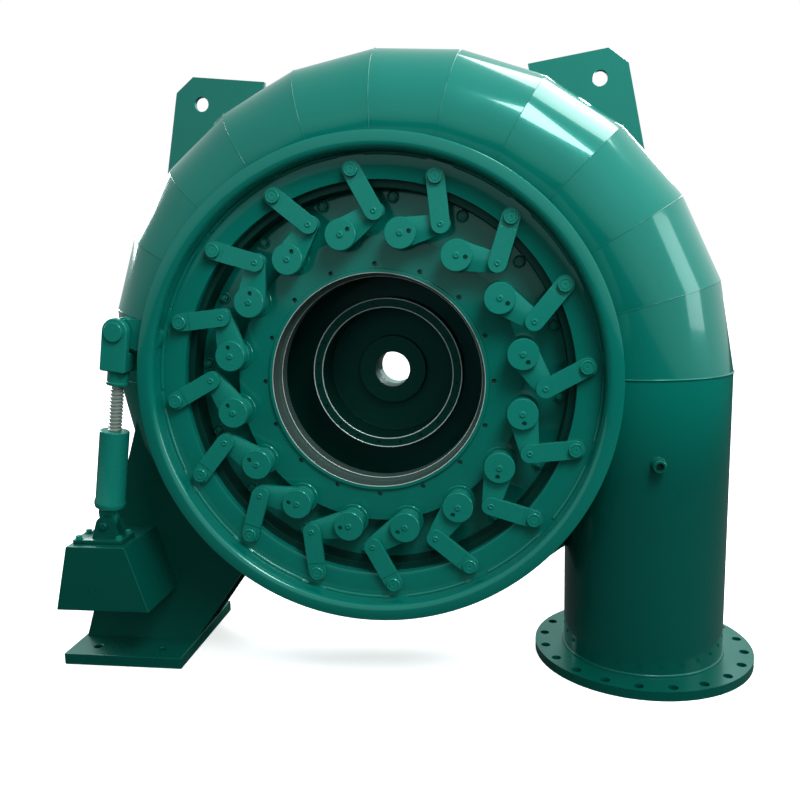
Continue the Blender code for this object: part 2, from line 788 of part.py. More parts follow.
def make_jack(looks):
    """Barrel, rod and fork, each drawn upright about the clevis pin and then leaned."""
    at = (CLEVIS_PIN[0], JACK_Y, CLEVIS_PIN[1])
    before = set(bpy.data.objects)
    make_barrel(looks, at)
    length, lean = jack_frame()
    make_fork(looks, length, at)
    make_rod(looks, length, at)
    for obj in set(bpy.data.objects) - before:
        obj.rotation_euler = (0.0, lean, 0.0)


def make_barrel(looks, at):
    bm = bmesh.new()
    upright_ring(bm, BARREL_BORE_R, BARREL_R, *BARREL_SPAN, BARREL_SIDES)
    barrel = add_object("jack_barrel", bm, looks["paint"], at)
    bm = bmesh.new()
    outline = tapered_outline((0.0, TONGUE_END), TONGUE_R[1], (0.0, 0.0), TONGUE_R[0])
    polygon_prism(bm, outline, -TONGUE_HALF, TONGUE_HALF)
    fuse(barrel, add_object("tongue_block", bm, None, at, helper=True))
    bm = bmesh.new()
    round_bar(bm, CLEVIS_HOLE_R, -2 * TONGUE_HALF, 2 * TONGUE_HALF)
    cut(barrel, add_object("tongue_hole", bm, None, at, helper=True))


def make_fork(looks, length, at):
    bm = bmesh.new()
    low = length - FORK_BASE
    outline = [(-FORK_HALF, low), (FORK_HALF, low)]
    for i in range(FORK_STEPS + 1):
        a = math.pi * i / FORK_STEPS
        outline.append((FORK_HALF * math.cos(a), length + FORK_HALF * math.sin(a)))
    half = FORK_DEPTH / 2
    polygon_prism(bm, outline, -half, half)
    fork = add_object("jack_fork", bm, looks["paint"], at)
    bm = bmesh.new()
    slot = FORK_SLOT / 2
    reach = 2 * FORK_HALF
    box(bm, (-reach, -slot, length - FORK_FLOOR), (reach, slot, length + reach))
    cut(fork, add_object("fork_slot", bm, None, at, helper=True))
    bm = bmesh.new()
    profile = [
        (0.0, -half - FORK_HEAD_THICK),
        (FORK_HEAD_R, -half - FORK_HEAD_THICK),
        (FORK_HEAD_R, -half + 0.005),
        (FORK_PIN_R, -half + 0.005),
        (FORK_PIN_R, half + PIN_END),
        (0.0, half + PIN_END),
    ]
    solid_lathe(bm, profile, (0.0, length))
    fuse(fork, add_object("fork_pin_block", bm, None, at, helper=True))


def make_rod(looks, length, at):
    bm = bmesh.new()
    top = length - FORK_BASE - FIT
    profile = [
        (0.0, ROD_TIP),
        (ROD_R, ROD_TIP),
        (ROD_R, top - JACK_COLLAR_LENGTH),
        (JACK_COLLAR_R, top - JACK_COLLAR_LENGTH),
        (JACK_COLLAR_R, top),
        (0.0, top),
    ]
    solid_lathe(bm, profile, (0.0, 0.0))
    bmesh.ops.rotate(bm, verts=bm.verts, cent=(0, 0, 0), matrix=UPRIGHT)
    add_object("jack_rod", bm, looks["rod"], at)


def make_lugs(looks, tube):
    places = [(LUG_MID_X + side * LUG_HOLE[0], LUG_HOLE[1]) for side in (-1, 1)]
    hole = turned_bars("lug_holes", places, LUG_HOLE_R, LUG_Y - LUG_THICK, LUG_Y + 2 * LUG_THICK)
    for name, side in (("lug_left", 1), ("lug_right", -1)):
        shift = 0.0 if side == 1 else 2 * LUG_MID_X
        bm = bmesh.new()
        points = [(side * x + shift, z) for x, z in LUG_OUTLINE]
        polygon_prism(bm, points, LUG_Y, LUG_Y + LUG_THICK)
        lug = add_object(name, bm, looks["paint"])
        cut(lug, tube)
        cut(lug, hole)


def main():
    clear_scene()
    looks = {
        "paint": material("case_paint", PAINT, 0.22, 0.0),
        "dark": material("frame_paint", DARK_PAINT, 0.30, 0.0),
        "steel": material("machined_steel", BRIGHT_STEEL, 0.25, 1.0),
        "rod": material("rod_steel", ROD_STEEL, 0.35, 1.0),
    }
    make_case(looks)
    tube = spiral_cutter()
    make_inlet(looks)
    make_stay_rings(looks)
    make_front_cover(looks)
    make_ring_guide(looks)
    make_back_cover(looks)
    make_regulating_ring(looks)
    make_gate_gear(looks)
    make_foot(looks, tube)
    make_bracket(looks)
    make_jack(looks)
    make_lugs(looks, tube)


main()
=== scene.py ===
"""Looks of a turbine's spiral case, with its regulating ring, levers, links and jack.

Pieces are drawn about the turbine axis, as in the part: r outwards, y back from the
front of the regulating ring, angles anticlockwise from +X as seen from the front.
"""

import math

import bmesh
import bpy
from mathutils import Matrix, Vector


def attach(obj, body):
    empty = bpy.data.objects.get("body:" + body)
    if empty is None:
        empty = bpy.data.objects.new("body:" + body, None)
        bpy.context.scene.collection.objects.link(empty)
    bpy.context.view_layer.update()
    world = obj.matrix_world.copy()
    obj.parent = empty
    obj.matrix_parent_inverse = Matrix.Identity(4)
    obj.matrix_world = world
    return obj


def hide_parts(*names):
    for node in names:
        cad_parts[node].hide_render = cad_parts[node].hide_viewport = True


AXIS = Vector((-0.0532, -0.3955, 1.14))
FLOOR = -1.14
FIT = 0.0003
PAST = 0.02

CASE_Y = 0.411
PIPE_R = 0.305
SHELL_WALL = 0.016
THROAT_R = 0.7186
HALF_WIDTH = 0.105
SPIRAL_END = 350.0
SEAM_STEP = 15.0
SMALLEST_TUBE_R = 0.155
TAIL_END = 330.0
MOUTH_Y = (CASE_Y - HALF_WIDTH, CASE_Y + HALF_WIDTH)
STAY_RING_R = THROAT_R * math.cos(math.radians(SEAM_STEP / 2)) - FIT
PIPE_X = THROAT_R + math.sqrt(PIPE_R**2 - HALF_WIDTH**2)
FLANGE_R = 0.42
FLANGE_THICK = 0.036
FLANGE_BOLT_R = 0.385
FLANGE_BOLTS = 20
FLANGE_HOLE_R = 0.018
SOCKET_Z = -0.30

SETS = 16
FIRST_BOSS = math.radians(78.2)
BOSS_R = 0.545
LEVER_PIN_R = 0.6134
LEVER_PIN_LAG = math.radians(12.7)
RING_PIN_R = 0.757
RING_PIN_LAG = math.radians(6.62)
RING_R = 0.875
RIM_INNER_R = 0.815
WEB_INNER_R = 0.721
WEB_Y = 0.088
WEB_BACK_Y = 0.123
LINK_Y = (0.064, 0.084)
ARM_Y = (0.0885, 0.118)
CAP_Y = 0.066
PAD_Y = 0.160
STEM_HOLE_R = 0.0345

COVER_R = (0.415, 0.534, 0.630, 0.696)
COVER_Y = (0.165, 0.215, 0.262)
COVER_BOLT_R = 0.4314
FIRST_COVER_BOLT = math.radians(89.5)
SEAL_R = (0.2625, 0.301)
SEAL_Y = (0.405, 0.420)
SEAL_SCREWS = 20
SHAFT_R = 0.0725
BACK_Y = (0.600, 0.660, 0.760)

FOOT_LOW = (-1.3186, 0.070, FLOOR)
FOOT_HIGH = (-0.8168, 0.679, FLOOR + 0.046)
FOOT_HOLE_R = 0.017
BRACKET_TOP = -0.600

JACK_Y = 0.055
FORK_PIN = (-0.945, 0.215)
CLEVIS_PIN = (-1.063, -0.531)
FORK_DROP = 0.150
BARREL_TOP = 0.372
BARREL_BORE_R = 0.0265

FINE_ROUND = 192
ROUND = 128
SMALL_ROUND = 32

LIT_MIDDLE = Vector((0.0, 0.0, 1.2))
GLOW_FROM_TO = (1.2, 3.2)


def polar(radius, angle, y=0.0):
    """The point at an angle on a circle about the turbine axis."""
    return Vector((radius * math.cos(angle), y, radius * math.sin(angle)))


def angles_of_sets(first):
    """One angle for each lever and link, clockwise from the first."""
    return [first - 2 * math.pi * i / SETS for i in range(SETS)]


def verts_of(geometry):
    """Only the points out of what an operator gives back."""
    return [v for v in geometry if isinstance(v, bmesh.types.BMVert)]


def spin(bm, profile, closed, centre, steps, angle=2 * math.pi):
    """Spins (r, y) points about a line along Y; gives the first and last points."""
    x, z = centre
    verts = [bm.verts.new((x + r, y, z)) for r, y in profile]
    pairs = zip(verts, verts[1:] + verts[:1]) if closed else zip(verts, verts[1:])
    edges = [bm.edges.new(pair) for pair in pairs]
    made = bmesh.ops.spin(
        bm,
        geom=verts + edges,
        cent=(x, 0.0, z),
        axis=(0.0, 1.0, 0.0),
        angle=angle,
        steps=steps,
        use_merge=angle >= 2 * math.pi,
    )
    return verts, verts_of(made["geom_last"])


def turn_profile(bm, profile, steps=ROUND, angle=2 * math.pi, centre=(0.0, 0.0)):
    """A ring, or a part of one with its two ends closed, from a closed profile."""
    first, last = spin(bm, profile, True, centre, steps, angle)
    if angle < 2 * math.pi:
        bm.faces.new(first)
        bm.faces.new(last)


def turned_solid(bm, profile, centre=(0.0, 0.0), steps=SMALL_ROUND):
    """A solid from a profile that starts and ends on its own axis."""
    spin(bm, profile, False, centre, steps)
    bmesh.ops.remove_doubles(bm, verts=bm.verts, dist=1e-6)


def bar(bm, radius, y0, y1, centre=(0.0, 0.0), sides=SMALL_ROUND, edge=0.0):
    """A round bar along Y, with its front edge broken if asked."""
    if edge:
        profile = [(0.0, y0), (radius - edge, y0), (radius, y0 + edge), (radius, y1), (0.0, y1)]
    else:
        profile = [(0.0, y0), (radius, y0), (radius, y1), (0.0, y1)]
    turned_solid(bm, profile, centre, sides)


def round_plate(places, y0, y1, sides=SMALL_ROUND):
    """A plate round two or more circles, each (x, z, radius)."""
    bm = bmesh.new()
    for x, z, radius in places:
        for y in (y0, y1):
            bmesh.ops.create_circle(
                bm,
                segments=sides,
                radius=radius,
                matrix=Matrix.Translation((x, y, z)) @ Matrix.Rotation(math.pi / 2, 4, "X"),
            )
    made = bmesh.ops.convex_hull(bm, input=bm.verts)
    spare = set(verts_of(made["geom_interior"] + made["geom_unused"]))
    bmesh.ops.delete(bm, geom=list(spare), context="VERTS")
    bmesh.ops.dissolve_limit(bm, angle_limit=0.01, verts=bm.verts, edges=bm.edges)
    return bm


def flat_plate(outline, y0, y1):
    """A plate with a straight-sided outline of (x, z) points."""
    bm = bmesh.new()
    face = bm.faces.new([bm.verts.new((x, y0, z)) for x, z in outline])
    grown = bmesh.ops.extrude_face_region(bm, geom=[face])["geom"]
    bmesh.ops.translate(bm, verts=verts_of(grown), vec=(0.0, y1 - y0, 0.0))
    return bm


def block(low, high):
    """A box from its lowest to its highest corner."""
    outline = [(low[0], low[2]), (high[0], low[2]), (high[0], high[2]), (low[0], high[2])]
    return flat_plate(outline, low[1], high[1])


def turn_and_move(bm, angle, axis, at=(0.0, 0.0, 0.0)):
    """Turns a shape about one axis of the drawing, then moves it."""
    bmesh.ops.rotate(bm, verts=bm.verts, cent=(0, 0, 0), matrix=Matrix.Rotation(angle, 3, axis))
    bmesh.ops.translate(bm, verts=bm.verts, vec=at)
    return bm


def stand_up(bm, at=(0.0, 0.0, 0.0)):
    """Turns what was drawn about Y, front up, to stand along Z."""
    return turn_and_move(bm, -math.pi / 2, "X", at)


def soften(bm, edges):
    """Breaks the named edges with a small round."""
    bmesh.ops.bevel(
        bm, geom=edges, offset=0.002, segments=2, profile=0.5, affect="EDGES", material=-1
    )


def round_bead(radius, along, sides, size, height=None):
    """The (r, along) points of a small round, for a weld or a bright edge."""
    height = height or size
    turns = (2 * math.pi * i / sides for i in range(sides))
    return [(radius + size * math.cos(a), along + height * math.sin(a)) for a in turns]


def join(target, *others):
    """Adds the shapes of the others to the first and lets them go."""
    for other in others:
        spare = bpy.data.meshes.new("spare")
        other.to_mesh(spare)
        other.free()
        target.from_mesh(spare)
        bpy.data.meshes.remove(spare)
    return target


def loose_object(bm, name="spare"):
    """A plain object of a shape, for a cutter or the floor."""
    bmesh.ops.recalc_face_normals(bm, faces=bm.faces)
    mesh = bpy.data.meshes.new(name)
    bm.to_mesh(mesh)
    bm.free()
    obj = bpy.data.objects.new(name, mesh)
    bpy.context.scene.collection.objects.link(obj)
    return obj


def carve(bm, cutter):
    """Takes the cutter's shape away and gives back a new bmesh."""
    target, tool = loose_object(bm), loose_object(cutter)
    step = target.modifiers.new("cut", "BOOLEAN")
    step.object = tool
    step.solver = "EXACT"
    bpy.context.view_layer.update()
    graph = bpy.context.evaluated_depsgraph_get()
    mesh = bpy.data.meshes.new_from_object(target.evaluated_get(graph))
    made = bmesh.new()
    made.from_mesh(mesh)
    for obj in (target, tool):
        old = obj.data
        bpy.data.objects.remove(obj)
        bpy.data.meshes.remove(old)
    bpy.data.meshes.remove(mesh)
    return made


def piece(name, bm, look, body, stands_for=(), edge=0.0, sharp=35.0, turn=0.0):
    """Makes the finished object: placed, smoothed, its edges broken, and riding on its body."""
    mesh = bpy.data.meshes.new(name)
    bm.to_mesh(mesh)
    bm.free()
    mesh.transform(Matrix.Translation(AXIS) @ Matrix.Rotation(turn, 4, "Y"))
    clean = bmesh.new()
    clean.from_mesh(mesh)
    bmesh.ops.recalc_face_normals(clean, faces=clean.faces)
    clean.to_mesh(mesh)
    clean.free()
    mesh.shade_smooth()
    mesh.materials.append(LOOKS[look])
    obj = bpy.data.objects.new(name, mesh)
    bpy.context.scene.collection.objects.link(obj)
    if edge:
        broken = obj.modifiers.new("edges", "BEVEL")
        broken.width = edge
        broken.segments = 2
        broken.limit_method = "ANGLE"
        broken.angle_limit = math.radians(sharp)
        broken.harden_normals = True
    else:
        mesh.set_sharp_from_angle(angle=math.radians(sharp))
    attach(obj, body)
    if stands_for:
        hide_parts(*stands_for)
    return obj


def add_node(tree, kind, **values):
    """Adds a node and sets its sockets and options by name."""
    node = tree.nodes.new(kind)
    for key, value in values.items():
        if key in node.inputs:
            node.inputs[key].default_value = value
        else:
            setattr(node, key, value)
    return node


def map_range(tree, source, target, given=(0.0, 1.0), wanted=(0.0, 1.0), kind="LINEAR"):
    """Stretches a value from one range to another on its way to a socket."""
    node = add_node(tree, "ShaderNodeMapRange", interpolation_type=kind)
    node.inputs["From Min"].default_value, node.inputs["From Max"].default_value = given
    node.inputs["To Min"].default_value, node.inputs["To Max"].default_value = wanted
    tree.links.new(source, node.inputs["Value"])
    tree.links.new(node.outputs["Result"], target)


def mix_colours(tree, factor, low, high, target):
    """Blends two colours by a factor into a socket."""
    mix = add_node(tree, "ShaderNodeMix", data_type="RGBA")
    mix.inputs["A"].default_value = (*low, 1.0)
    mix.inputs["B"].default_value = (*high, 1.0)
    tree.links.new(factor, mix.inputs["Factor"])
    tree.links.new(mix.outputs["Result"], target)


def new_look(name):
    """A material with its node tree and its shader."""
    look = bpy.data.materials.new(name)
    look.use_nodes = True
    return look, look.node_tree, look.node_tree.nodes["Principled BSDF"]


def object_noise(tree, scale, detail):
    """Noise fixed to the object's own coordinates."""
    place = tree.nodes.get("Texture Coordinate") or tree.nodes.new("ShaderNodeTexCoord")
    noise = add_node(tree, "ShaderNodeTexNoise", Scale=scale, Detail=detail)
    tree.links.new(place.outputs["Object"], noise.inputs["Vector"])
    return noise


def add_bump(tree, height, strength, distance, shader):
    """Lets a value roughen the surface."""
    bump = add_node(tree, "ShaderNodeBump", Strength=strength, Distance=distance)
    tree.links.new(height, bump.inputs["Height"])
    tree.links.new(bump.outputs["Normal"], shader.inputs["Normal"])


def paint(name, light, deep, rough, coat):
    """Thick sprayed paint: soft waves, a fine skin and slow changes of tone."""
    look, tree, shader = new_look(name)
    shader.inputs["Coat Weight"].default_value = coat
    shader.inputs["Coat Roughness"].default_value = 0.06
    shader.inputs["Specular Tint"].default_value = (0.22, 1.0, 0.92, 1.0)
    tone = object_noise(tree, 2.3, 5.0)
    mix_colours(tree, tone.outputs["Fac"], deep, light, shader.inputs["Base Color"])
    patch = object_noise(tree, 9.0, 4.0)
    map_range(tree, patch.outputs["Fac"], shader.inputs["Roughness"], wanted=(rough * 0.8, rough * 1.3))
    skin = object_noise(tree, 160.0, 2.0)
    wave = object_noise(tree, 14.0, 2.0)
    add = add_node(tree, "ShaderNodeMath", operation="MULTIPLY_ADD")
    add.inputs[1].default_value = 6.0
    tree.links.new(wave.outputs["Fac"], add.inputs[0])
    tree.links.new(skin.outputs["Fac"], add.inputs[2])
    add_bump(tree, add.outputs["Value"], 0.16, 0.0004, shader)
    return look


def paint_shade_downwards(look, bottom, top, least):
    """Paints shade into a paint: deeper towards the floor, where the pipe stands in its own shade."""
    tree = look.node_tree
    shader = tree.nodes["Principled BSDF"]
    colour = shader.inputs["Base Color"].links[0].from_socket
    place = tree.nodes["Texture Coordinate"]
    axes = tree.nodes.new("ShaderNodeSeparateXYZ")
    tree.links.new(place.outputs["Object"], axes.inputs["Vector"])
    shade = add_node(tree, "ShaderNodeVectorMath", operation="SCALE")
    tree.links.new(colour, shade.inputs["Vector"])
    map_range(tree, axes.outputs["Z"], shade.inputs["Scale"], (bottom, top), (least, 1.0), "SMOOTHSTEP")
    tree.links.new(shade.outputs["Vector"], shader.inputs["Base Color"])
    return look


def machined(name, colour, rough, scale, metal):
    """Turned steel: fine rings about the turbine axis."""
    look, tree, shader = new_look(name)
    shader.inputs["Metallic"].default_value = metal
    place = tree.nodes.new("ShaderNodeTexCoord")
    centre = add_node(tree, "ShaderNodeMapping")
    centre.inputs["Location"].default_value = -AXIS
    tree.links.new(place.outputs["Object"], centre.inputs["Vector"])
    rings = add_node(tree, "ShaderNodeTexWave", wave_type="RINGS", rings_direction="Y", Scale=scale)
    rings.inputs["Distortion"].default_value = 0.6
    tree.links.new(centre.outputs["Vector"], rings.inputs["Vector"])
    add_bump(tree, rings.outputs["Fac"], 0.15, 0.0002, shader)
    stain = object_noise(tree, 6.0, 5.0).outputs["Fac"]
    stained = [c * 0.72 for c in colour]
    mix_colours(tree, stain, stained, colour, shader.inputs["Base Color"])
    map_range(tree, stain, shader.inputs["Roughness"], wanted=(rough * 0.7, rough * 1.5))
    return look


def make_looks():
    """Each paint by its lighter and deeper tone, roughness and coat."""
    return {
        "case": paint("case_teal", (0.0010, 0.152, 0.120), (0.0006, 0.113, 0.088), 0.18, 0.75),
        "gear": paint("gear_teal", (0.0060, 0.190, 0.150), (0.0035, 0.142, 0.110), 0.26, 0.3),
        # The pipe's paint with painted shade, deeper towards the floor.
        "pipe": paint_shade_downwards(
            paint("pipe_teal_painted_shade", (0.0008, 0.150, 0.118), (0.0005, 0.112, 0.086), 0.17, 0.35),
            bottom=0.72,
            top=1.16,
            least=0.5,
        ),
        # A deeper copy of the teal paint: painted shade for the flange, the foot slab and the jack's box.
        "base": paint("shaded_base_teal", (0.0005, 0.076, 0.057), (0.0003, 0.053, 0.040), 0.28, 0.15),
        # A dark copy of the teal paint: painted shade for the legs and the clevis under the case.
        "frame": paint("shaded_frame_teal", (0.001, 0.070, 0.053), (0.0005, 0.048, 0.036), 0.32, 0.15),
        # Near-black teal: painted shade for the back cover, the seal band and the ring's rail, deep in the
        # recess.
        "deep_shade": paint("bore_shade_teal", (0.0006, 0.022, 0.016), (0.0003, 0.012, 0.008), 0.42, 0.1),
        "sleeve": machined("bored_sleeve", (0.105, 0.170, 0.155), 0.40, 90.0, 0.6),
        "bright": machined("turned_steel", (0.78, 0.84, 0.82), 0.30, 140.0, 0.5),
        "rod": machined("rod_steel", (0.50, 0.56, 0.52), 0.30, 30.0, 0.6),
    }


def tube_radius(degrees):
    """The case narrows along its spiral as the water leaves it."""
    share = max(0.0, 1.0 - degrees / SPIRAL_END)
    return max(SMALLEST_TUBE_R, PIPE_R * math.sqrt(share))


def section(degrees, grow=0.0):
    """Middle, direction of travel, radius and half opening of the case at one angle."""
    radius = tube_radius(degrees)
    angle = math.radians(degrees)
    centre = THROAT_R + math.sqrt(radius**2 - HALF_WIDTH**2)
    middle = polar(centre, angle, CASE_Y)
    travel = Vector((-math.sin(angle), 0.0, math.cos(angle)))
    return middle, travel, radius + grow, math.asin(HALF_WIDTH / radius)


def section_arc(bm, degrees, steps=56):
    """Spins one point into the open arc of the case's section."""
    middle, travel, radius, opening = section(degrees)
    inward = Vector((-math.cos(math.radians(degrees)), 0.0, -math.sin(math.radians(degrees))))
    start = middle + radius * (inward * math.cos(opening) + Vector((0, 1, 0)) * math.sin(opening))
    first = bm.verts.new(start)
    known = set(bm.edges)
    bmesh.ops.spin(
        bm,
        geom=[first],
        cent=middle,
        axis=travel,
        angle=-2 * (math.pi - opening),
        steps=steps,
    )
    return [e for e in bm.edges if e not in known]


def case_skin(first, last, gap=0.03):
    """One run of the case: single-curved segments with a crease at each seam."""
    bm = bmesh.new()
    count = round((last - first) / SEAM_STEP)
    arcs = []
    for i in range(count + 1):
        degrees = first + SEAM_STEP * i + (gap if i == 0 else 0.0)
        arcs.append(section_arc(bm, degrees))
    for near, far in zip(arcs, arcs[1:]):
        bmesh.ops.bridge_loops(bm, edges=near + far)
    for arc in arcs:
        for e in arc:
            e.smooth = False
    bmesh.ops.recalc_face_normals(bm, faces=bm.faces)
    outward = sum(f.normal.dot(f.calc_center_median() - Vector((0, CASE_Y, 0))) for f in bm.faces)
    bmesh.ops.solidify(bm, geom=bm.faces, thickness=SHELL_WALL if outward > 0 else -SHELL_WALL)
    return bm


def seam_bead(bm, degrees, size=0.0014):
    """The weld bead over one seam, from mouth to mouth."""
    middle, travel, radius, opening = section(degrees)
    inward = Vector((-math.cos(math.radians(degrees)), 0.0, -math.sin(math.radians(degrees))))
    lean = opening + 0.02
    out = inward * math.cos(lean) + Vector((0, 1, 0)) * math.sin(lean)
    heading = Matrix.Translation(middle + radius * out)
    plane = Matrix((travel, out, travel.cross(out))).transposed().to_4x4()
    made = bmesh.ops.create_circle(bm, segments=6, radius=size, matrix=heading @ plane)
    verts = made["verts"]
    edges = list({e for v in verts for e in v.link_edges})
    bmesh.ops.spin(
        bm,
        geom=verts + edges,
        cent=middle,
        axis=travel,
        angle=-2 * (math.pi - lean),
        steps=96,
    )


def make_case():
    """The spiral in five runs, each for one part, and the weld over every seam."""
    runs = (
        ("case_right", "spiral_case_right", 0.0, 75.0),
        ("case_top", "spiral_case_top", 75.0, 135.0),
        ("case_left", "spiral_case_left", 135.0, 210.0),
        ("case_bottom", "spiral_case_bottom", 210.0, 270.0),
        ("case_tail", "spiral_tail", 270.0, TAIL_END),
    )
    for name, node, first, last in runs:
        bm = case_skin(first, last)
        if node == "spiral_tail":
            bm = carve(bm, upright_bar(PIPE_R + FIT, -1.0, 1.5, (PIPE_X, CASE_Y, 0.0), ROUND))
        skin = piece(name, bm, "case", "casing", (node,), sharp=60.0)
        mark_seams(skin)
    bm = bmesh.new()
    for i in range(1, int(TAIL_END / SEAM_STEP)):
        seam_bead(bm, SEAM_STEP * i)
    piece("case_seams", bm, "case", "casing", sharp=80.0)


def mark_seams(skin):
    """Keeps the crease where two segments of the case meet."""
    mesh = skin.data
    sharp = mesh.attributes.get("sharp_edge") or mesh.attributes.new("sharp_edge", "BOOLEAN", "EDGE")
    for e in mesh.edges:
        a, b = (mesh.vertices[i].co - AXIS for i in e.vertices)
        at_a, at_b = (math.degrees(math.atan2(p.z, p.x)) % 360.0 for p in (a, b))
        if abs(at_a - at_b) < 0.2 and abs(at_a / SEAM_STEP - round(at_a / SEAM_STEP)) < 0.03:
            sharp.data[e.index].value = True


def upright_bar(radius, low, high, at, sides=SMALL_ROUND):
    """A round bar about Z, from one height to another above `at`."""
    bm = bmesh.new()
    bar(bm, radius, -high, -low, sides=sides)
    return stand_up(bm, at)


def upright_ring(profile, centre, steps=ROUND):
    """A ring about Z, from a closed profile of (r, z) points."""
    bm = bmesh.new()
    turn_profile(bm, [(r, -z) for r, z in profile], steps)
    return stand_up(bm, centre)


def make_inlet():
    """The upright pipe, its drilled flange and the welds at both ends."""
    inner = PIPE_R - SHELL_WALL
    top = FLOOR + FLANGE_THICK
    at = (PIPE_X, CASE_Y, 0.0)
    pipe = upright_ring([(inner, top), (PIPE_R, top), (PIPE_R, -FIT), (inner, -FIT)], at)
    piece("inlet_pipe_wall", pipe, "pipe", "casing", ("inlet_pipe",))
    flange = upright_ring([(inner, FLOOR), (FLANGE_R, FLOOR), (FLANGE_R, top), (inner, top)], at)
    holes = bmesh.new()
    for i in range(FLANGE_BOLTS):
        a = math.radians(9) + 2 * math.pi * i / FLANGE_BOLTS
        centre = (FLANGE_BOLT_R * math.cos(a), FLANGE_BOLT_R * math.sin(a))
        bar(holes, FLANGE_HOLE_R, -top - PAST, -FLOOR + PAST, centre)
    stand_up(holes, at)
    # The flange in the deeper teal: painted shade.
    piece("inlet_flange_plate", carve(flange, holes), "base", "casing", ("inlet_flange",), 0.003)
    low_bead = upright_ring(round_bead(PIPE_R, top + 0.002, 8, 0.007), at)
    high_bead = upright_ring(round_bead(PIPE_R, -0.001, 8, 0.004), at)
    beads = join(low_bead, high_bead)
    piece("inlet_seams", beads, "pipe", "casing", sharp=80.0)
    make_socket()


def make_socket():
    """The small threaded socket on the front of the inlet pipe, with its weld."""
    front = CASE_Y - PIPE_R
    bm = bmesh.new()
    inner, outer = 0.0145, 0.024
    profile = [
        (inner, front - 0.045),
        (outer - 0.003, front - 0.045),
        (outer, front - 0.042),
        (outer, front + 0.004),
        (inner, front + 0.004),
    ]
    turn_profile(bm, profile, SMALL_ROUND, centre=(PIPE_X, SOCKET_Z))
    bead = bmesh.new()
    turn_profile(bead, round_bead(outer, front - 0.001, 6, 0.004), SMALL_ROUND, centre=(PIPE_X, SOCKET_Z))
    piece("drain_socket_body", join(bm, bead), "pipe", "casing", ("drain_socket",))


def ring_piece(name, profile, look, stands_for, edge=0.002, steps=ROUND):
    """A standing ring about the turbine axis."""
    bm = bmesh.new()
    turn_profile(bm, profile, steps)
    piece(name, bm, look, "casing", stands_for, edge)


def make_cover():
    """The front stay ring, the cover bolted in it, and the glands of the stems."""
    wet, outer = MOUTH_Y[0], STAY_RING_R
    ring_piece(
        "stay_ring_front_body",
        [(COVER_R[2], COVER_Y[2]), (outer, COVER_Y[2]), (outer, wet), (COVER_R[2], wet)],
        "case",
        ("stay_ring_front",),
    )
    bm = bmesh.new()
    profile = [
        (COVER_R[0], COVER_Y[0]),
        (COVER_R[1], COVER_Y[0]),
        (COVER_R[1], COVER_Y[1]),
        (COVER_R[3] - FIT, COVER_Y[1]),
        (COVER_R[3] - FIT, COVER_Y[2] - FIT),
        (COVER_R[2] - FIT, COVER_Y[2] - FIT),
        (COVER_R[2] - FIT, wet),
        (COVER_R[0], wet),
    ]
    turn_profile(bm, profile)
    holes = bmesh.new()
    for i in range(16):
        x, _, z = polar(COVER_BOLT_R, FIRST_COVER_BOLT - 2 * math.pi * i / 16)
        bar(holes, 0.009, COVER_Y[0] - 0.02, COVER_Y[0] + 0.03, (x, z), 20)
    pads = bmesh.new()
    root = COVER_Y[1] + 0.01
    gland = [(STEM_HOLE_R, PAD_Y), (0.058, PAD_Y), (0.060, PAD_Y + 0.002), (0.060, root), (STEM_HOLE_R, root)]
    for angle in angles_of_sets(FIRST_BOSS):
        x, _, z = polar(BOSS_R, angle)
        bar(holes, STEM_HOLE_R, COVER_Y[0] - 0.06, wet + 0.05, (x, z))
        turn_profile(pads, gland, SMALL_ROUND, centre=(x, z))
    piece("front_cover_body", carve(bm, holes), "case", "casing", ("front_cover",), 0.0015)
    piece("stem_glands", pads, "case", "casing")


def make_liner():
    """A sleeve pressed into the cover: painted over its face, bare along its bore."""
    wet = MOUTH_Y[0]
    outer = COVER_R[0] - FIT
    painted = [(0.4012, 0.155), (outer - 0.002, 0.155), (outer, 0.157), (outer, wet), (0.4012, wet)]
    ring_piece("liner_face", painted, "case", ("bore_liner",), 0.0008, steps=FINE_ROUND)
    bored = [
        (0.3992, 0.1562),
        (0.4010, 0.1552),
        (0.4010, wet),
        (0.385, wet),
        (0.385, 0.2415),
        (0.3865, 0.2400),
        (0.3990, 0.2400),
    ]
    ring_piece("liner_bore", bored, "sleeve", (), steps=FINE_ROUND)
    edge = [(0.3986, 0.1550), (0.4012, 0.1545), (0.4012, 0.1570), (0.3986, 0.1570)]
    ring_piece("liner_edge", edge, "bright", (), 0.0005, steps=FINE_ROUND)
    lip = [(0.3848, 0.2405), (0.3862, 0.2396), (0.3875, 0.2404), (0.3862, 0.2430), (0.3848, 0.2430)]
    ring_piece("liner_lip", lip, "bright", (), 0.0004, steps=FINE_ROUND)


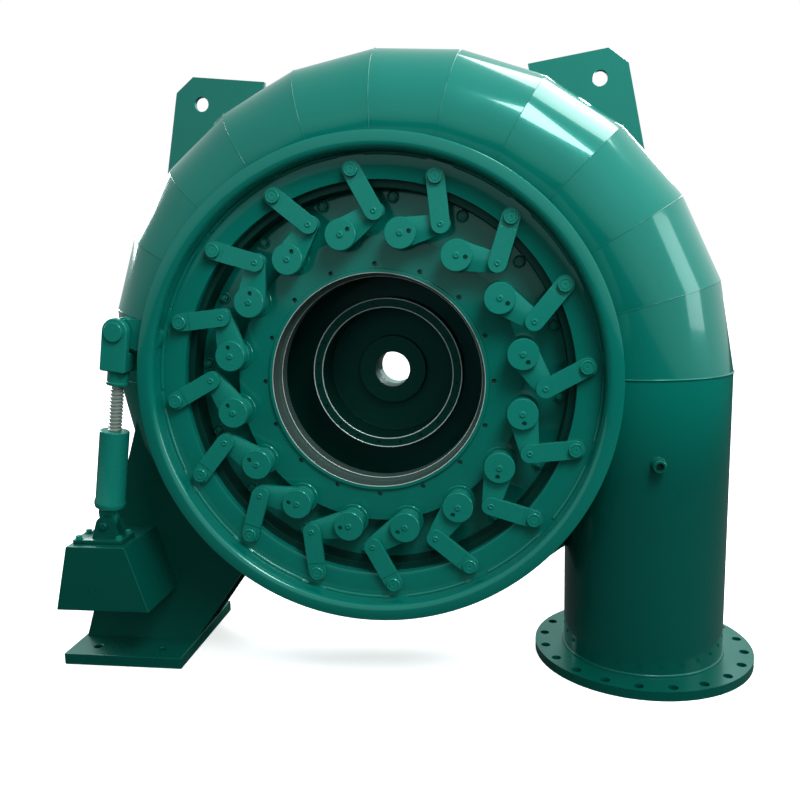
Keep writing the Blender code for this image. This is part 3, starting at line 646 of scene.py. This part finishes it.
def make_back():
    """The rear stay ring with its vanes, the cover, the seal and the shaft housing."""
    wet, outer = MOUTH_Y[1], STAY_RING_R
    step = wet + 0.0443
    bm = bmesh.new()
    turn_profile(bm, [(COVER_R[2], wet), (outer, wet), (outer, step), (COVER_R[2], step)])
    for angle in angles_of_sets(FIRST_BOSS):
        inner, far = polar(0.658, angle), polar(0.696, angle)
        plate = round_plate([(inner.x, inner.z, 0.010), (far.x, far.z, 0.010)], wet - 0.2095, wet + 0.01, 16)
        join(bm, plate)
    piece("stay_ring_back_body", bm, "case", "casing", ("stay_ring_back",), 0.0015)
    step += FIT
    profile = [
        (SHAFT_R, 0.560),
        (0.140, 0.560),
        (0.140, BACK_Y[0]),
        (SEAL_R[0], BACK_Y[0]),
        (SEAL_R[0], SEAL_Y[1] + FIT),
        (SEAL_R[1], SEAL_Y[1] + FIT),
        (SEAL_R[1], wet),
        (COVER_R[2] - FIT, wet),
        (COVER_R[2] - FIT, step),
        (0.700, step),
        (0.700, BACK_Y[0]),
        (0.320, BACK_Y[0]),
        (0.320, BACK_Y[1]),
        (SHAFT_R, BACK_Y[1]),
    ]
    # The back cover in the near-black teal: painted shade.
    ring_piece("back_cover_body", profile, "deep_shade", ("back_cover",), 0.003)
    front = SEAL_Y[0] + 0.0015
    inner, outer = SEAL_R
    band = bmesh.new()
    turn_profile(band, [(inner, front), (outer, front), (outer, SEAL_Y[1]), (inner, SEAL_Y[1])])
    holes = bmesh.new()
    for i in range(SEAL_SCREWS):
        spot = polar(0.2818, math.radians(81.5) - 2 * math.pi * i / SEAL_SCREWS)
        bar(holes, 0.0068, front - 0.0115, front + 0.0100, (spot.x, spot.z), 16)
    # The seal band in the near-black teal: painted shade.
    piece("seal_band", carve(band, holes), "deep_shade", "casing", ("seal_ring",))
    edges = bmesh.new()
    for radius in (SEAL_R[0] + 0.0020, SEAL_R[1] - 0.0022):
        turn_profile(edges, round_bead(radius, front + 0.0010, 12, 0.0024, 0.0025), FINE_ROUND)
    piece("seal_edges", edges, "bright", "casing", sharp=80.0)
    near, far = BACK_Y[1] + FIT, BACK_Y[2]
    profile = [(SHAFT_R, near), (0.160, near), (0.160, far), (SHAFT_R, far)]
    ring_piece("shaft_housing_body", profile, "case", ("shaft_housing",), 0.004)


def make_guide():
    """The rail behind the regulating ring, coloured near black as painted shade."""
    seat = WEB_BACK_Y + FIT
    profile = [
        (0.696, seat),
        (0.757, seat),
        (0.757, seat + 0.022),
        (0.716, seat + 0.022),
        (0.716, COVER_Y[2] - FIT),
        (0.696, COVER_Y[2] - FIT),
    ]
    ring_piece("ring_guide_body", profile, "deep_shade", ("ring_guide",))


def make_ring():
    """The regulating ring with its ear, its sixteen pins and the weld in its corner."""
    soft = 0.024
    profile = [
        (RIM_INNER_R + soft, 0.0),
        (RING_R - 0.005, 0.0),
        (RING_R - 0.0015, 0.0015),
        (RING_R, 0.005),
        (RING_R, WEB_BACK_Y - 0.003),
        (RING_R - 0.003, WEB_BACK_Y),
        (0.777, WEB_BACK_Y),
        (0.777, 0.150),
        (0.762, 0.150),
        (0.762, WEB_BACK_Y),
        (WEB_INNER_R, WEB_BACK_Y),
        (WEB_INNER_R, WEB_Y + 0.0035),
        (WEB_INNER_R + 0.001, WEB_Y + 0.001),
        (WEB_INNER_R + 0.0035, WEB_Y),
        (RIM_INNER_R - 0.006, WEB_Y),
        (RIM_INNER_R, WEB_Y - 0.006),
    ]
    for i in range(10):
        a = math.pi / 2 * i / 10
        profile.append((RIM_INNER_R + soft * (1 - math.cos(a)), soft * (1 - math.sin(a))))
    bm = bmesh.new()
    turn_profile(bm, profile, FINE_ROUND)
    root = (-RING_R + 0.030, FORK_PIN[1] * 0.9, 0.063)
    ear = round_plate([root, (*FORK_PIN, 0.042)], JACK_Y - 0.020, JACK_Y + 0.020, 48)
    hole = bmesh.new()
    bar(hole, 0.023, JACK_Y - 0.05, JACK_Y + 0.05, FORK_PIN)
    join(bm, carve(ear, hole))
    piece("ring_body", bm, "case", "regulating_ring", ("regulating_ring",), sharp=28.0)
    pins = bmesh.new()
    beads = bmesh.new()
    for angle in angles_of_sets(FIRST_BOSS - RING_PIN_LAG):
        x, _, z = polar(RING_PIN_R, angle)
        profile = [
            (0.0, 0.0548),
            (0.0032, 0.0548),
            (0.0045, 0.0530),
            (0.0150, 0.0530),
            (0.0160, 0.0545),
            (0.0185, 0.0545),
            (0.0195, 0.0525),
            (0.0235, 0.0525),
            (0.0256, 0.0545),
            (0.0256, 0.0637),
            (0.0125, 0.0637),
            (0.0125, 0.0843),
            (0.0270, 0.0843),
            (0.0270, 0.0980),
            (0.0, 0.0980),
        ]
        turned_solid(pins, profile, (x, z))
        add_bead_arc(beads, angle)
    piece("ring_pins", pins, "gear", "regulating_ring")
    piece("ring_weld", beads, "case", "regulating_ring", sharp=80.0)


def add_bead_arc(bm, pin_angle, size=0.0075):
    """The weld in the ring's corner, left out behind each pin."""
    half_gap = math.radians(3.4)
    arc = bmesh.new()
    profile = round_bead(RIM_INNER_R - 0.0035, WEB_Y - 0.0035, 8, size)
    turn_profile(arc, profile, 14, 2 * math.pi / SETS - 2 * half_gap)
    join(bm, turn_and_move(arc, half_gap - pin_angle, "Y"))


def lever_shape():
    """The first lever with its cap, neck, pin, stem and guide vane."""
    boss = polar(BOSS_R, FIRST_BOSS)
    pin = polar(LEVER_PIN_R, FIRST_BOSS - LEVER_PIN_LAG)
    centre, tip = (boss.x, boss.z), (pin.x, pin.z)
    arm = round_plate([(*centre, 0.0545), (*tip, 0.034)], *ARM_Y, 48)
    soften(arm, [e for e in arm.edges if e.calc_face_angle(0.0) > 0.6])
    cap = bmesh.new()
    bar(cap, 0.056, CAP_Y, ARM_Y[0] + 0.002, centre, 64, 0.002)
    toward = (pin - boss).normalized()
    hole_at = boss + toward * 0.0325
    hole = bmesh.new()
    bar(hole, 0.0085, CAP_Y - 0.02, CAP_Y + 0.016, (hole_at.x, hole_at.z), 24)
    cap = carve(cap, hole)
    screw = bmesh.new()
    head = [
        (0.0, CAP_Y - 0.0015),
        (0.0035, CAP_Y - 0.0015),
        (0.0050, CAP_Y - 0.0042),
        (0.0095, CAP_Y - 0.0036),
        (0.0120, CAP_Y - 0.0010),
        (0.0125, CAP_Y + 0.0020),
        (0.0, CAP_Y + 0.0020),
    ]
    turned_solid(screw, head, centre, 24)
    neck = bmesh.new()
    profile = [
        (0.0, ARM_Y[1] - 0.004),
        (0.046, ARM_Y[1] - 0.004),
        (0.046, 0.128),
        (0.043, 0.130),
        (0.043, 0.146),
        (0.048, 0.148),
        (0.048, PAD_Y - FIT),
        (0.030, PAD_Y - FIT),
        (0.030, 0.320),
        (0.0, 0.320),
    ]
    turned_solid(neck, profile, centre, 48)
    seat = bmesh.new()
    profile = [
        (0.0, 0.0690),
        (0.0145, 0.0690),
        (0.0155, 0.0700),
        (0.0155, 0.0843),
        (0.0270, 0.0843),
        (0.0270, 0.0985),
        (0.0, 0.0985),
    ]
    turned_solid(seat, profile, tip, 24)
    return join(arm, cap, screw, neck, seat, vane_shape(boss))


def vane_shape(boss):
    """The guide vane: a long drop in section, across the whole water way."""
    clear = 0.003
    shape = [(-0.5, 0.03), (-0.42, 0.26), (-0.3, 0.42), (-0.12, 0.50), (0.08, 0.47), (0.3, 0.28), (0.5, 0.04)]
    upper = [(0.200 * s, 0.034 * t) for s, t in shape]
    outline = upper + [(x, -z) for x, z in reversed(upper)]
    bm = flat_plate(outline, MOUTH_Y[0] + clear, MOUTH_Y[1] - clear)
    lean = FIRST_BOSS + math.pi / 2 + math.radians(7.0)
    return turn_and_move(bm, -lean, "Y", boss)


def link_shape():
    """The first link: a flat bar with round ends, stepped down where the pin's head lies."""
    start = polar(RING_PIN_R, FIRST_BOSS - RING_PIN_LAG)
    end = polar(LEVER_PIN_R, FIRST_BOSS - LEVER_PIN_LAG)
    bar_shape = round_plate([(start.x, start.z, 0.033), (end.x, end.z, 0.033)], *LINK_Y, 48)
    holes = bmesh.new()
    bar(holes, 0.0155, LINK_Y[0] - 0.01, LINK_Y[1] + 0.01, (start.x, start.z))
    bar(holes, 0.0205, LINK_Y[0] + 0.0025, LINK_Y[1] + 0.01, (end.x, end.z))
    along = (end - start).normalized()
    heading = math.atan2(along.z, along.x)
    step = block((-0.080, LINK_Y[0] - 0.01, -0.050), (0.038, LINK_Y[0] + 0.0022, 0.050))
    turn_and_move(step, -heading, "Y", start)
    screw = bmesh.new()
    profile = [
        (0.0, LINK_Y[0] - 0.0004),
        (0.0040, LINK_Y[0] - 0.0004),
        (0.0052, LINK_Y[0] - 0.0036),
        (0.0085, LINK_Y[0] - 0.0034),
        (0.0108, LINK_Y[0] - 0.0012),
        (0.0112, LINK_Y[0] + 0.0010),
        (0.0, LINK_Y[0] + 0.0010),
    ]
    turned_solid(screw, profile, (end.x, end.z), 24)
    return join(carve(carve(bar_shape, holes), step), screw)


def make_gate_gear():
    """Sixteen levers and links, each a turned copy of the first."""
    for name, shape, node, edge in (
        ("lever", lever_shape(), "vane_lever", 0.0),
        ("link_bar", link_shape(), "link", 0.0026),
    ):
        for i in range(SETS):
            turn = 2 * math.pi * i / SETS
            number = f"{i + 1:02d}"
            stands = f"{node}_{number}"
            piece(f"{name}_{number}", shape.copy(), "gear", stands, (stands,), edge, turn=turn)
        shape.free()


def make_foot():
    """The slab under the left foot, with its four anchor holes."""
    low, high = FOOT_LOW, FOOT_HIGH
    holes = bmesh.new()
    for x in (low[0] + 0.110, high[0] - 0.110):
        for y in (low[1] + 0.080, high[1] - 0.060):
            join(holes, upright_bar(FOOT_HOLE_R, low[2] - PAST, high[2] + PAST, (x, y, 0.0)))
    # The slab in the deeper teal: painted shade.
    piece("foot_slab", carve(block(low, high), holes), "base", "casing", ("foot_plate",), 0.003)


def make_bracket():
    """The box under the jack, and the double ear that is bolted on it."""
    top = BRACKET_TOP
    outline = [(-1.265, -0.859), (-0.883, -0.859), (-0.945, -0.655), (-0.962, top), (-1.202, top)]
    body = flat_plate(outline, -0.040, 0.2497)
    # The box in the deeper teal: painted shade.
    piece("bracket_box", body, "base", "casing", ("jack_bracket",), 0.004, 10.0)
    base = block((-1.190, JACK_Y - 0.058, top + FIT), (-0.989, JACK_Y + 0.058, top + 0.016))
    parts = [base]
    x, z = CLEVIS_PIN
    for side in (-1, 1):
        faces = sorted(JACK_Y + side * y for y in (0.020, 0.040))
        places = [(x, z, 0.036), (x - 0.048, top + 0.012, 0.008), (x + 0.048, top + 0.012, 0.008)]
        parts.append(round_plate(places, *faces, 32))
    soften(base, base.edges)
    pin = bmesh.new()
    bar(pin, 0.014, JACK_Y - 0.052, JACK_Y + 0.052, CLEVIS_PIN, 24, 0.002)
    parts.append(pin)
    # The clevis in the dark frame teal: painted shade.
    piece("clevis_body", join(*parts), "frame", "casing", ("jack_clevis",))
    bolts = bmesh.new()
    for bx in (-1.172, -1.007):
        for by in (JACK_Y - 0.040, JACK_Y + 0.040):
            join(bolts, standing_bolt((bx, by, top + 0.016), 0.013, 0.010))
    piece("clevis_bolts", bolts, "gear", "casing", (), 0.001)


def standing_bolt(at, radius, height):
    """A hexagon head on its washer, pointing up."""
    bm = bmesh.new()
    bar(bm, radius * 1.25, -0.003, 0.0, sides=24)
    bar(bm, radius, -height - 0.003, -0.003, sides=6)
    return stand_up(bm, at)


def front_stud(bm, centre, face_y, radius=0.015):
    """A nut with its stud end on a round washer with a raised rim, facing the front."""
    rim = [
        (radius * 1.05, face_y + 0.001),
        (radius * 1.10, face_y - 0.004),
        (radius * 1.35, face_y - 0.006),
        (radius * 1.55, face_y - 0.004),
        (radius * 1.58, face_y + 0.001),
    ]
    turn_profile(bm, rim, 24, centre=centre)
    bar(bm, radius, face_y - 0.013, face_y + 0.001, centre, 6)
    bar(bm, radius * 0.55, face_y - 0.020, face_y - 0.013, centre, 16, 0.001)


def back_bolt(bm, centre, face_y, radius):
    """A hexagon head on its washer, facing the back."""
    bar(bm, radius * 1.3, face_y - 0.001, face_y + 0.003, centre, 24)
    bar(bm, radius, face_y + 0.003, face_y + 0.013, centre, 6)


def make_bolts():
    """The cover's studs in front, and three circles of bolts behind."""
    studs = bmesh.new()
    for i in range(SETS):
        x, _, z = polar(0.672, math.radians(61.4 + 22.5 * i))
        front_stud(studs, (x, z), COVER_Y[1])
        x, _, z = polar(0.600, math.radians(73.0 + 22.5 * i))
        front_stud(studs, (x, z), COVER_Y[1], 0.006)
    piece("cover_studs", studs, "gear", "casing", (), 0.0008)
    rear = bmesh.new()
    circles = (
        (24, 0.668, 7.5, BACK_Y[0], 0.013),
        (12, 0.285, 0.0, BACK_Y[1], 0.011),
        (8, 0.130, 0.0, BACK_Y[2], 0.009),
    )
    for count, circle, first, face_y, size in circles:
        for i in range(count):
            x, _, z = polar(circle, math.radians(first + 360.0 * i / count))
            back_bolt(rear, (x, z), face_y, size)
    piece("back_bolts", rear, "gear", "casing", (), 0.001)


def jack_turn():
    """The jack's length from pin to pin, and its lean."""
    along = Vector((FORK_PIN[0] - CLEVIS_PIN[0], FORK_PIN[1] - CLEVIS_PIN[1]))
    return along.length, math.atan2(along.x, along.y)


def lean_jack(bm):
    """Puts what was drawn upright about the clevis pin in the jack's place."""
    lean = jack_turn()[1]
    return turn_and_move(bm, lean, "Y", (CLEVIS_PIN[0], JACK_Y, CLEVIS_PIN[1]))


def upright_turned(profile, steps=48):
    """A solid turned about Z, from (r, z) points that start and end on it."""
    bm = bmesh.new()
    turned_solid(bm, [(r, -z) for r, z in profile], steps=steps)
    return stand_up(bm)


def make_jack():
    """The jack from its clevis up: barrel, fork, and the rod between them."""
    length = jack_turn()[0]
    profile = [
        (BARREL_BORE_R, 0.066),
        (0.044, 0.059),
        (0.056, 0.068),
        (0.060, 0.080),
        (0.060, 0.090),
        (0.0565, 0.100),
        (0.0555, BARREL_TOP - 0.003),
        (0.0525, BARREL_TOP),
        (BARREL_BORE_R, BARREL_TOP),
    ]
    barrel = upright_ring(profile, (0, 0, 0), 64)
    tongue = round_plate([(0.0, 0.0, 0.030), (0.0, 0.045, 0.040)], -0.013, 0.013, 32)
    hole = bmesh.new()
    bar(hole, 0.0150, -0.03, 0.03)
    join(barrel, carve(tongue, hole))
    piece("barrel_body", lean_jack(barrel), "gear", "jack_barrel", ("jack_barrel",), sharp=30.0)
    make_fork(length)
    make_rod(length)


def make_fork(length):
    """The slotted head on the rod, with its pin through the ring's ear."""
    low = length - FORK_DROP
    places = [(0.0, length, 0.050), (-0.042, low + 0.008, 0.008), (0.042, low + 0.008, 0.008)]
    body = round_plate(places, -0.060, 0.060, 48)
    slot = block((-0.1, -0.025, length - 0.075), (0.1, 0.025, length + 0.1))
    body = carve(body, slot)
    piece("fork_body", lean_jack(body), "gear", "jack_rod", ("jack_fork",), 0.006, 30.0)
    pin = bmesh.new()
    profile = [
        (0.0, -0.074),
        (0.0345, -0.074),
        (0.0360, -0.0725),
        (0.0360, -0.0600),
        (0.0180, -0.0600),
        (0.0180, 0.0720),
        (0.0, 0.0720),
    ]
    turned_solid(pin, profile, (0.0, length), 48)
    piece("fork_pin", lean_jack(pin), "gear", "jack_rod")


def make_rod(length):
    """The collar under the fork, and the threaded rod."""
    top = length - FORK_DROP - FIT
    foot = top - 0.055
    profile = [
        (0.0, foot),
        (0.041, foot),
        (0.043, foot + 0.003),
        (0.043, foot + 0.010),
        (0.0405, foot + 0.013),
        (0.0405, top - 0.002),
        (0.0385, top),
        (0.0, top),
    ]
    collar = upright_turned(profile)
    piece("rod_collar", lean_jack(collar), "gear", "jack_rod")
    bm = bmesh.new()
    start, pitch, per_turn = 0.235, 0.014, 24
    root_r, crest_r = 0.0212, 0.0255
    turns = int((foot - start) / pitch) - 1
    profile = [(root_r, 0.0), (crest_r, 0.003), (crest_r, 0.007), (root_r, 0.010), (root_r, pitch)]
    verts = [bm.verts.new((r, 0.0, start + z)) for r, z in profile]
    edges = [bm.edges.new(pair) for pair in zip(verts, verts[1:])]
    bmesh.ops.spin(
        bm,
        geom=verts + edges,
        cent=(0, 0, 0),
        axis=(0, 0, 1),
        angle=2 * math.pi * turns,
        steps=per_turn * turns,
        dvec=(0, 0, pitch / per_turn),
    )
    bmesh.ops.remove_doubles(bm, verts=bm.verts, dist=1e-5)
    core_r, end = root_r - 0.0001, foot + 0.002
    core = upright_turned([(0.0, start), (core_r, start), (core_r, end), (0.0, end)], per_turn)
    piece("rod_thread", lean_jack(join(bm, core)), "rod", "jack_rod", ("jack_rod",))


def make_lugs():
    """The two lifting plates: the right one mirrors the left about x = 0.030."""
    outline = [(-0.803, 1.2175), (-0.8785, 1.159), (-0.951, 0.800), (-0.600, 0.700), (-0.499, 1.1788)]
    middle, back = 0.030, BACK_Y[0]
    for name, node, side in (("lug_left_plate", "lug_left", -1), ("lug_right_plate", "lug_right", 1)):
        points = outline if side < 0 else [(2 * middle - x, z) for x, z in outline]
        hole = bmesh.new()
        bar(hole, 0.029, back - 0.05, back + 0.10, (middle + side * 0.803, 1.108))
        lug = carve(flat_plate(points, back, back + 0.025), hole)
        piece(name, lug, "case", "casing", (node,), 0.002)


def area_light(name, size, power, at, in_reflections=True):
    """A soft window of light, aimed at the object's middle."""
    data = bpy.data.lights.new(name, "AREA")
    data.shape = "RECTANGLE"
    data.size, data.size_y = size
    data.energy = power
    lamp = bpy.data.objects.new(name, data)
    bpy.context.scene.collection.objects.link(lamp)
    lamp.visible_glossy = in_reflections
    aim = (LIT_MIDDLE - at).to_track_quat("-Z", "Y")
    lamp.matrix_world = Matrix.Translation(at) @ aim.to_matrix().to_4x4()


def make_camera():
    """The photograph's camera, solved from the ring, the pins, the foot and the flange."""
    yaw, pitch, roll = -0.1626, -0.1747, -0.0319
    forward = Vector((math.sin(yaw) * math.cos(pitch), math.cos(yaw) * math.cos(pitch), math.sin(pitch)))
    right = Vector((math.cos(yaw), -math.sin(yaw), 0.0))
    up = right.cross(forward)
    across = right * math.cos(roll) + up * math.sin(roll)
    upward = up * math.cos(roll) - right * math.sin(roll)
    data = bpy.data.cameras.new("camera")
    data.sensor_width = 36.0
    data.lens = 849.708 / 800 * 36.0
    data.shift_x = (400 - 380.579) / 800
    data.shift_y = (422.302 - 400) / 800
    camera = bpy.data.objects.new("camera", data)
    bpy.context.scene.collection.objects.link(camera)
    turn = Matrix((across, upward, -forward)).transposed().to_4x4()
    camera.matrix_world = Matrix.Translation((0.4628, -3.3331, 1.5401)) @ turn
    bpy.context.scene.camera = camera


def seen_or_mirrored(tree, seen, mirrored, target):
    """One shader for what the camera sees itself, another for reflections and shade."""
    path = tree.nodes.new("ShaderNodeLightPath")
    mix = tree.nodes.new("ShaderNodeMixShader")
    tree.links.new(path.outputs["Is Camera Ray"], mix.inputs["Fac"])
    tree.links.new(mirrored, mix.inputs[1])
    tree.links.new(seen, mix.inputs[2])
    tree.links.new(mix.outputs["Shader"], target)


def make_floor():
    """A pale floor to look at, which throws no white back into the gloss paint."""
    bm = bmesh.new()
    bmesh.ops.create_circle(bm, cap_ends=True, segments=96, radius=40.0)
    floor = loose_object(bm, "floor")
    look, tree, shader = new_look("floor")
    shader.inputs["Base Color"].default_value = (0.80, 0.80, 0.80, 1.0)
    shader.inputs["Roughness"].default_value = 0.9
    shader.inputs["Specular IOR Level"].default_value = 0.0
    shader.inputs["Emission Color"].default_value = (1.0, 1.0, 1.0, 1.0)
    far = add_node(tree, "ShaderNodeVectorMath", operation="LENGTH")
    place = tree.nodes.new("ShaderNodeTexCoord")
    tree.links.new(place.outputs["Object"], far.inputs[0])
    glow = shader.inputs["Emission Strength"]
    map_range(tree, far.outputs["Value"], glow, GLOW_FROM_TO, (0.55, 1.0))
    dark = add_node(tree, "ShaderNodeBsdfDiffuse", Color=(0.05, 0.055, 0.055, 1.0))
    surface = tree.nodes["Material Output"].inputs["Surface"]
    seen_or_mirrored(tree, shader.outputs["BSDF"], dark.outputs["BSDF"], surface)
    floor.data.materials.append(look)


def make_world():
    """White to the camera; in reflections a dim hall, brighter to the right, black below."""
    world = bpy.data.worlds.new("studio")
    bpy.context.scene.world = world
    world.use_nodes = True
    tree = world.node_tree
    hall = tree.nodes["Background"]
    hall.inputs["Color"].default_value = (0.78, 1.0, 0.96, 1.0)
    place = tree.nodes.new("ShaderNodeTexCoord")
    parts = tree.nodes.new("ShaderNodeSeparateXYZ")
    tree.links.new(place.outputs["Generated"], parts.inputs["Vector"])
    both = add_node(tree, "ShaderNodeMath", operation="MULTIPLY")
    map_range(tree, parts.outputs["Z"], both.inputs[0], (-0.25, 0.14), (0.01, 1.0))
    map_range(tree, parts.outputs["X"], both.inputs[1], (-0.3, 0.9), (0.60, 1.0))
    tree.links.new(both.outputs["Value"], hall.inputs["Strength"])
    seen = add_node(tree, "ShaderNodeBackground", Strength=1.0, Color=(1.0, 1.0, 1.0, 1.0))
    surface = tree.nodes["World Output"].inputs["Surface"]
    seen_or_mirrored(tree, seen.outputs["Background"], hall.outputs["Background"], surface)


def lamp_place(azimuth, elevation, distance):
    """Azimuth 0 is in front of the ring, 90 to its right."""
    a, e = math.radians(azimuth), math.radians(elevation)
    way = Vector((math.sin(a) * math.cos(e), -math.cos(a) * math.cos(e), math.sin(e)))
    return LIT_MIDDLE + way * distance


def make_lights():
    """Windows that show in the gloss, and two soft fills that don't."""
    area_light("roof_window", (3.0, 1.9), 110.0, lamp_place(112, 58, 4.2))
    area_light("right_window", (1.5, 1.6), 26.0, lamp_place(74, 15, 4.4))
    area_light("left_window", (2.0, 0.9), 60.0, lamp_place(-118, 20, 4.2))
    area_light("rear_window", (1.0, 1.6), 60.0, lamp_place(156, 28, 4.4))
    area_light("front_upper", (1.2, 1.0), 60.0, lamp_place(36, 50, 4.2))
    area_light("front_soft", (1.9, 1.4), 110.0, lamp_place(30, 40, 4.6), in_reflections=False)
    area_light("back_soft", (2.6, 2.2), 160.0, lamp_place(-160, 40, 5.0), in_reflections=False)


def main():
    """Paints what is kept from the part, then builds the rest round it."""
    LOOKS.update(make_looks())
    # The legs take the dark frame teal: painted shade.
    for node in ("leg_front", "leg_back", "leg_rib"):
        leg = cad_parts[node]
        leg.data.materials.clear()
        leg.data.materials.append(LOOKS["frame"])
    make_camera()
    make_world()
    make_lights()
    make_floor()
    make_case()
    make_inlet()
    make_cover()
    make_liner()
    make_back()
    make_guide()
    make_ring()
    make_gate_gear()
    make_foot()
    make_bracket()
    make_bolts()
    make_jack()
    make_lugs()
    bpy.context.scene.view_settings.view_transform = "Standard"


LOOKS = {}
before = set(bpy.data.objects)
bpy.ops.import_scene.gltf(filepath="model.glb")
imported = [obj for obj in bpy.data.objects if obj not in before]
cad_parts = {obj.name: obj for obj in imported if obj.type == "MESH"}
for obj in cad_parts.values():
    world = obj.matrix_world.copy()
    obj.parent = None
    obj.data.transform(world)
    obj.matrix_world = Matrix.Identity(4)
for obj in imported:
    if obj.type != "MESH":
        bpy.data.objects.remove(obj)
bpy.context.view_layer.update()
main()
